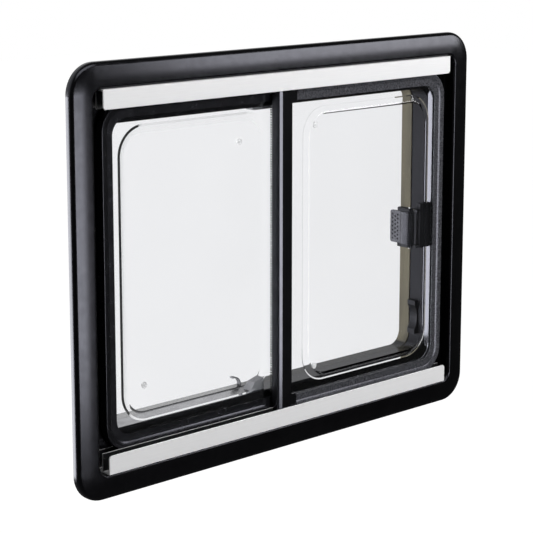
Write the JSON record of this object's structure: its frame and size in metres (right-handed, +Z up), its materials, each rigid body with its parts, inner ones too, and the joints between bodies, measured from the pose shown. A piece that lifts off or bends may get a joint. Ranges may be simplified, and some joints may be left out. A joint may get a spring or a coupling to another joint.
{
  "type": "sliding caravan window",
  "caption": "Wall-mounted caravan window with a black moulded frame, bright rails, a fixed pane, a sliding pane, both of double dished acrylic, and a latch.",
  "frame": {"origin": "middle of the lower flange on its back face, the face that lies on the wall", "axes": "+X along the width to the right as seen from the front, +Y into the wall, +Z up"},
  "size_m": [0.65, 0.0765, 0.5],
  "materials": {
    "frame_black": "satin",
    "raw_foam": "matte",
    "rail_metal": "satin",
    "black_plastic": "satin",
    "black_rubber": "satin",
    "pile": "matte",
    "acrylic": "polished",
    "plug_clear": "polished",
    "pin_steel": "satin"
  },
  "bodies": {
    "frame": {"outer_frame": "frame_black", "rear_rim": "raw_foam", "top_track": "rail_metal", "bottom_track": "rail_metal", "top_rail_strip": "rail_metal", "bottom_rail_strip": "rail_metal", "left_jamb_strip": "black_plastic", "right_jamb_strip": "black_plastic", "top_centre_stop": "black_plastic", "bottom_centre_stop": "black_plastic", "fixed_stile": "black_plastic", "meeting_stile": "black_plastic", "lower_guide_shoes": "black_plastic", "upper_guide_shoes": "black_plastic", "latch_base": "black_plastic", "jamb_bumper": "black_rubber", "fixed_edging": "black_rubber", "sliding_edging": "black_rubber", "meeting_pile": "pile", "fixed_flat_sheet": "acrylic", "fixed_dished_sheet": "acrylic", "sliding_dished_sheet": "acrylic", "sliding_flat_sheet": "acrylic", "fixed_vent_plugs": "plug_clear", "sliding_vent_plugs": "plug_clear", "latch_pin": "pin_steel"},
    "latch": {"latch_flap": "black_plastic"}
  },
  "joints": [
    {"name": "latch_turn", "type": "hinge", "parent": "frame", "child": "latch", "pos_m": [0.232, 0.00908, 0.2315], "axis": [0, 0, 1], "range_deg": [0, 30]}
  ]
}
